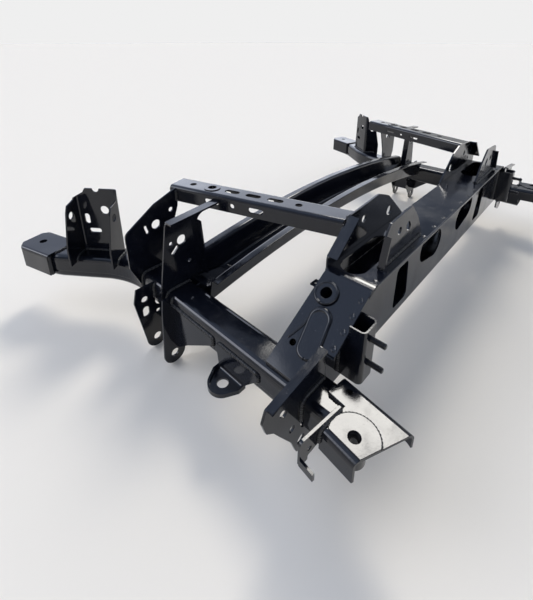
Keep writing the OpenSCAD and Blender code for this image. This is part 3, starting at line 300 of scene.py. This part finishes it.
# Painted weld metal: the same black, a little duller, with spatter grains about 1 mm across.
grain_scale, grain_height = 900.0, 0.0003
bead_place = add_node(crust, "ShaderNodeTexCoord").outputs["Object"]
grain = add_node(crust, "ShaderNodeTexNoise", {"Scale": grain_scale, "Detail": 2.0},
                 {"Vector": bead_place}).outputs["Fac"]
soot = add_node(crust, "ShaderNodeMix", {"A": linear("#070708"), "B": linear("#151517")}, {"Factor": grain},
                data_type="RGBA").outputs["Result"]
dull = add_node(crust, "ShaderNodeMapRange",
                {"From Min": 0.3, "From Max": 0.7, "To Min": 0.2, "To Max": 0.4},
                {"Value": grain}).outputs["Result"]
rough = add_node(crust, "ShaderNodeBump", {"Strength": 0.2, "Distance": grain_height},
                 {"Height": grain}).outputs["Normal"]
crust.links.new(soot, weld.inputs["Base Color"])
crust.links.new(dull, weld.inputs["Roughness"])
crust.links.new(rough, weld.inputs["Normal"])


def skin(metal, rings):
    """Joins each ring of points to the next one with smooth faces."""
    for near, far in zip(rings, rings[1:]):
        for n in range(len(near)):
            m = (n + 1) % len(near)
            metal.faces.new((near[n], near[m], far[m], far[n])).smooth = True


def round_bar(metal, spots, sizes):
    """Adds a closed round bar to a mesh, through a row of points with a radius at each."""
    corners = 8
    rings = []
    side = None
    last = len(spots) - 1
    for k, (spot, size) in enumerate(zip(spots, sizes)):
        along = (spots[min(k + 2, last)] - spots[max(k - 2, 0)]).normalized()
        side = along.orthogonal() if side is None else side - along * side.dot(along)
        side.normalize()
        up = along.cross(side)
        rings.append([metal.verts.new(spot + (side * math.cos(t) + up * math.sin(t)) * size)
                      for t in (math.tau * n / corners for n in range(corners))])
    skin(metal, rings)
    metal.faces.new(rings[0][::-1])
    metal.faces.new(rings[-1])


def fixed_piece(name, metal, finish):
    """Turns a mesh under way into a finished piece that is part of the frame."""
    mesh = bpy.data.meshes.new(name)
    metal.to_mesh(mesh)
    metal.free()
    mesh.materials.append(finish)
    piece = bpy.data.objects.new(name, mesh)
    scene.collection.objects.link(piece)
    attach(piece, "root")
    return piece


def bead_size(gone, length):
    """A bead's radius at a distance along it: tapered at its ends, rippled and a little lumpy."""
    radius, ripple_pitch, ripple_share = 0.0034, 0.0032, 0.2
    lump_share, quick_lumps, slow_lumps = 0.14, 520, 233
    taper, blunt = 0.004, 0.02
    end = min(gone, length - gone, taper) / taper
    lumps = 1 + lump_share * math.sin(gone * quick_lumps) * math.sin(gone * slow_lumps + 1)
    scales = 1 - ripple_share + ripple_share * abs(math.cos(math.pi * gone / ripple_pitch))
    return radius * lumps * scales * math.sqrt(max(end, blunt))


def weld_beads(name, seams):
    """Lays rippled beads along the seams of pairs of nodes and makes them one piece."""
    step, shortest = 0.0006, 0.009
    runs = []
    for piece, carrier in seams:
        runs += seam_runs(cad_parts[piece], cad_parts[carrier])
    metal = bmesh.new()
    for chain in joined(runs):
        length = sum((b - a).length for a, b in zip(chain, chain[1:]))
        if length < shortest:
            continue
        spots = [chain[0]]
        left = step
        for a, b in zip(chain, chain[1:]):
            gone = 0.0
            span = (b - a).length
            while span - gone >= left:
                gone += left
                spots.append(a.lerp(b, gone / span))
                left = step
            left -= span - gone
        round_bar(metal, spots, [bead_size(k * step, length) for k in range(len(spots))])
    fixed_piece(name, metal, bead_paint)


# Body mounts: caps of 3.2 mm plate over the rail ends with tubular spacers for the body bolts,
# and at the rear a hook plate across the cap. Caps and hook plates are welded to the rails.
for side in ("left", "right"):
    dress(side + "_rear_mount_cap", side + "_rear_mount_sleeve", side + "_front_mount_cap",
          side + "_front_mount_sleeve", side + "_rear_hook_plate")
    weld_beads(side + "_mount_welds", [
        (side + "_rear_mount_cap", side + "_side_rail_upper"),
        (side + "_front_mount_cap", side + "_side_rail_upper"),
        (side + "_rear_hook_plate", side + "_side_rail_upper"),
        (side + "_rear_hook_plate", side + "_rear_mount_cap"),
        (side + "_rear_mount_cap", side + "_rear_hook_plate")])


# Bolt seats: the seat round the bolt hole of each rear cap, 54 mm across, is raised from the
# cap's own plate. A thin bead edges it and ends at the cap's bent sides and its rear edge.
cap_at, cap_lean = Vector((0.4586, -0.304)), math.radians(7)
seat_at, seat_radius, seat_flat = Vector((0.016, -0.029)), 0.0273, 0.0292
seat_steps, seat_start, fewest_spots = 120, -0.3, 5
over_cap, cap_depth, downward = 0.15, 0.0145, Vector((0, 0, -1))
edge_size, edge_lump, edge_wave, edge_lift = 0.0013, 0.0004, 2.3, Vector((0, 0, 0.0004))
for side, sign in (("left", -1), ("right", 1)):
    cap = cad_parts[side + "_rear_mount_cap"].data
    surface = BVHTree.FromPolygons([v.co for v in cap.vertices], [p.vertices for p in cap.polygons])
    metal = bmesh.new()
    arcs = [[]]
    for k in range(seat_steps + 1):
        turn = math.tau * k / seat_steps + seat_start
        spot = seat_at + seat_radius * Vector((math.cos(turn), math.sin(turn)))
        inside = abs(spot.x) < seat_flat
        spot.rotate(Matrix.Rotation(cap_lean, 2))
        start = Vector((sign * (cap_at.x + spot.x), cap_at.y + spot.y, over_cap))
        hit = surface.ray_cast(start, downward, cap_depth)[0]
        if inside and hit is not None:
            arcs[-1].append(hit + edge_lift)
        else:
            arcs.append([])
    for arc in arcs:
        if len(arc) >= fewest_spots:
            sizes = [edge_size + edge_lump * math.sin(edge_wave * k) for k in range(len(arc))]
            round_bar(metal, arc, sizes)
    fixed_piece(side + "_bolt_seat_edge", metal, bead_paint)


# Front cap rolls: the rear edges of the front caps are rolled in against the rails' sides.
# They are bent from the caps' own plate and close the caps' ends.
rail_end, ahead = Vector((0.5514, 0.2969)), Vector((0.2902, 0.957))
roll_back, roll_foot, roll_height, roll_steps = 0.0135, 0.0925, 0.0405, 24
for side, sign in (("left", -1), ("right", 1)):
    metal = bmesh.new()
    for out, radius in ((0.0278, 0.0048), (-0.0292, 0.004)):
        foot = rail_end - ahead * roll_back + Vector((ahead.y, -ahead.x)) * out
        heights = [roll_foot + roll_height * k / roll_steps for k in range(roll_steps + 1)]
        round_bar(metal, [Vector((sign * foot.x, foot.y, z)) for z in heights], [radius] * len(heights))
    fixed_piece(side + "_front_cap_roll", metal, paint)


# Rear beam: a hat section pressed from 2.6 mm sheet, closed by a rear plate that is spot
# welded to its pinch flange, with a bush sleeve welded into each sloping end.
dress("rear_beam_front_shell", "rear_beam_rear_plate")
for side in ("left", "right"):
    dress(side + "_bush_sleeve", side + "_line_tab")
    weld_beads(side + "_beam_welds", [
        ("rear_beam_front_shell", side + "_side_rail_upper"),
        (side + "_bush_sleeve", "rear_beam_front_shell"),
        (side + "_line_tab", "rear_beam_front_shell")])


# Flange hem: the edge of the beam's pinch flange is hemmed over from slope to slope. The hem
# is a fold of the front shell's own sheet and follows the highest points of its rear edge.
hem_reach, hem_slack, hem_radius, hem_in, hem_down = 0.362, 0.0002, 0.0017, 0.0009, 0.0013
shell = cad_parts["rear_beam_front_shell"].data
flange_y = min(v.co.y for v in shell.vertices)
crest = {}
for v in shell.vertices:
    if v.co.y < flange_y + hem_slack and abs(v.co.x) < hem_reach:
        across = round(v.co.x, 3)
        crest[across] = max(crest.get(across, 0.0), v.co.z)
hem = [Vector((x, flange_y + hem_in, crest[x] - hem_down)) for x in sorted(crest)]
metal = bmesh.new()
round_bar(metal, hem, [hem_radius] * len(hem))
fixed_piece("rear_beam_flange_hem", metal, paint)


# Slope pads: each pad on the beam's slopes is pressed up from the sheet with a soft shoulder
# that is highest at its upper end. A pressed rib beside it curves down and forward.
slope_at = Vector((0.3741, -0.2209, 0.1985))
slope_angle = math.radians(31.04)
pad_at, pad_half, pad_radius, pad_turn = Vector((0.054, -0.015)), 0.019, 0.013, math.radians(-10)
pad_steps, shoulder_lift, shoulder_size, shoulder_more = 52, 0.0006, 0.0027, 0.0018
rib_start, rib_run, rib_front, rib_swing, rib_curve = 0.03, 0.045, 0.001, 0.012, 1.6
rib_steps, rib_size, rib_less = 20, 0.0024, 0.001


def on_slope(sign, down, front, up):
    """A point on a slope of the beam, given as travel down it, forward on it and up from it."""
    return Vector((sign * (slope_at.x + down * math.cos(slope_angle) + up * math.sin(slope_angle)),
                   slope_at.y + front,
                   slope_at.z - down * math.sin(slope_angle) + up * math.cos(slope_angle)))


for side, sign in (("left", -1), ("right", 1)):
    metal = bmesh.new()
    outline = []
    sizes = []
    for k in range(pad_steps + 1):
        turn = math.tau * k / pad_steps
        shift = math.copysign(pad_half, math.cos(turn))
        spot = Vector((shift + pad_radius * math.cos(turn), pad_radius * math.sin(turn)))
        spot.rotate(Matrix.Rotation(pad_turn, 2))
        outline.append(on_slope(sign, *(pad_at + spot), shoulder_lift))
        sizes.append(shoulder_size + shoulder_more * max(0.0, -math.cos(turn)))
    round_bar(metal, outline, sizes)
    shares = [k / rib_steps for k in range(rib_steps + 1)]
    rib = [on_slope(sign, rib_start + rib_run * share, rib_front + rib_swing * share ** rib_curve, 0.0)
           for share in shares]
    round_bar(metal, rib, [rib_size - rib_less * share for share in shares])
    fixed_piece(side + "_slope_pad_shoulder", metal, paint)


# Bush sleeve rims: each bush sleeve is a short steel tube that stands proud of the slope, and
# its upper rim is rolled over into a round lip.
rim_across, rim_size, rim_lift, rim_steps = 0.0155, 0.002, 0.0022, 48
for side, sign in (("left", -1), ("right", 1)):
    metal = bmesh.new()
    angles = [math.tau * n / rim_steps for n in range(rim_steps + 1)]
    rim = [on_slope(sign, rim_across * math.cos(t), rim_across * math.sin(t), rim_lift) for t in angles]
    round_bar(metal, rim, [rim_size] * len(rim))
    fixed_piece(side + "_bush_sleeve_rim", metal, paint)


# Spot welds: the pinch flange of the beam is closed by spot welds about 8 mm across, along its
# slopes and its top. Each is a shallow dimple, left by the electrode, inside a raised rim.
# The dimple's profile is a row of radius and height.
dimple = ((0.0042, -0.0002), (0.0035, 0.0005), (0.0028, 0.0006), (0.0018, 0.00012), (0.0006, 0.0001))
dimple_corners = 20
flange_front, flange_top = -0.0457, 0.216
weld_downs = (-0.012, 0.011, 0.034, 0.057)
weld_outs = (0.024, 0.07, 0.116, 0.162, 0.208, 0.254, 0.3, 0.328)
for side, sign in (("left", -1), ("right", 1)):
    metal = bmesh.new()
    upright = Vector((0, 0, 1))
    tilted = Vector((sign * math.sin(slope_angle), 0, math.cos(slope_angle)))
    spots = [(on_slope(sign, down, flange_front, 0), tilted) for down in weld_downs]
    spots += [(Vector((sign * out, slope_at.y + flange_front, flange_top)), upright) for out in weld_outs]
    angles = [math.tau * n / dimple_corners for n in range(dimple_corners)]
    for spot, up in spots:
        lie = up.to_track_quat("Z", "Y").to_matrix()
        rings = [[metal.verts.new(spot + lie @ Vector((r * math.cos(t), r * math.sin(t), z))) for t in angles]
                 for r, z in dimple]
        skin(metal, rings)
        metal.faces.new(rings[-1])
    fixed_piece(side + "_flange_spot_welds", metal, paint)


# Link brackets: two tall walls of 3.2 mm plate that are welded to the beam and carry the bolt
# of the upper link between them.
for side in ("left", "right"):
    dress(side + "_link_bracket_front_wall", side + "_link_bracket_rear_wall")
    weld_beads(side + "_link_bracket_welds", [
        (side + "_link_bracket_front_wall", "rear_beam_front_shell"),
        (side + "_link_bracket_rear_wall", "rear_beam_front_shell")])


# Front crossmember: an arched trough pressed from 2.6 mm sheet, butted and welded to both
# rails, with a sloping patch that closes each end.
dress("front_crossmember")
for side in ("left", "right"):
    dress(side + "_crossmember_gusset")
    weld_beads(side + "_crossmember_welds", [
        ("front_crossmember", side + "_side_rail_upper"),
        (side + "_crossmember_gusset", "front_crossmember")])


# Upper arm brackets and struts: upright plates of 3.2 mm that are welded over the rails, tied
# back to the link bracket by a lightened channel of 2.6 mm sheet.
for side in ("left", "right"):
    dress(side + "_strut", side + "_arm_bracket_front_plate", side + "_arm_bracket_rear_plate",
          side + "_front_arm_bracket")
    weld_beads(side + "_arm_bracket_welds", [
        (side + "_strut", side + "_link_bracket_front_wall"),
        (side + "_arm_bracket_front_plate", side + "_side_rail_upper"),
        (side + "_arm_bracket_rear_plate", side + "_side_rail_upper"),
        (side + "_arm_bracket_front_plate", side + "_strut"),
        (side + "_arm_bracket_rear_plate", side + "_strut"),
        (side + "_front_arm_bracket", side + "_side_rail_upper")])


# Lower brackets: the clevis ears of the lower arm, the drop bracket and the rear gusset hang
# on the rails' sides and are welded all round. All are pressed from 3.2 mm plate.
for side in ("left", "right"):
    dress(side + "_lower_clevis_front_ear", side + "_lower_clevis_rear_ear", side + "_drop_bracket",
          side + "_rear_gusset_plate")
    weld_beads(side + "_lower_bracket_welds", [
        (side + "_lower_clevis_front_ear", side + "_side_rail_upper"),
        (side + "_lower_clevis_front_ear", side + "_side_rail_lower"),
        (side + "_lower_clevis_rear_ear", side + "_side_rail_upper"),
        (side + "_lower_clevis_rear_ear", side + "_side_rail_lower"),
        (side + "_drop_bracket", side + "_side_rail_upper"),
        (side + "_drop_bracket", side + "_side_rail_lower"),
        (side + "_rear_gusset_plate", side + "_side_rail_upper"),
        (side + "_rear_gusset_plate", side + "_side_rail_lower"),
        (side + "_rear_gusset_plate", "rear_beam_rear_plate")])


# Stud brackets: a channel welded behind the beam with two threaded studs pressed in from
# inside. The studs are M8 with rolled threads, painted with the frame.
pitch, ridge, root, collar, head = 0.00125, 0.004, 0.0034, 0.005, 0.008
head_end, collar_end, tip, tip_less = 0.003, 0.0058, 0.001, 0.0008
stud_corners, slices, ridge_width, stud_point = 24, 8, 1.25, 0.00001
for side in ("left", "right"):
    dress(side + "_stud_bracket")
    weld_beads(side + "_stud_bracket_welds", [(side + "_stud_bracket", "rear_beam_rear_plate")])
    low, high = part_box(side + "_studs")
    middle = (low[0] + high[0]) / 2
    thread = high[1] - collar_end
    angles = [math.tau * n / stud_corners for n in range(stud_corners)]
    metal = bmesh.new()
    for z in (low[2] + head, high[2] - head):
        # Head and collar on the inner end, then the thread, then the tip.
        profile = [(high[1], 0.0), (high[1], head), (high[1] - head_end, head),
                   (high[1] - head_end, collar), (thread, collar), (thread, ridge)]
        rings = [[(y, r)] * stud_corners for y, r in profile]
        count = round((thread - low[1] - tip) / (pitch / slices))
        for k in range(count + 1):
            y = thread - k * pitch / slices
            slopes = [abs(((k / slices + n / stud_corners) % 1.0) - 0.5) * 2 for n in range(stud_corners)]
            rings.append([(y, root + (ridge - root) * min(1.0, ridge_width * slope)) for slope in slopes])
        rings.append([(low[1], root - tip_less)] * stud_corners)
        rings.append([(low[1], 0.0)] * stud_corners)
        skin(metal, [[metal.verts.new((middle + r * math.cos(t), y, z + r * math.sin(t)))
                      for t, (y, r) in zip(angles, ring)] for ring in rings])
    bmesh.ops.remove_doubles(metal, verts=metal.verts, dist=stud_point)
    bmesh.ops.recalc_face_normals(metal, faces=metal.faces)
    studs = fixed_piece(side + "_threaded_studs", metal, paint)
    studs.modifiers.new("thread_edges", "EDGE_SPLIT").split_angle = math.radians(40)
    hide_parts(side + "_studs")


low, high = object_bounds()
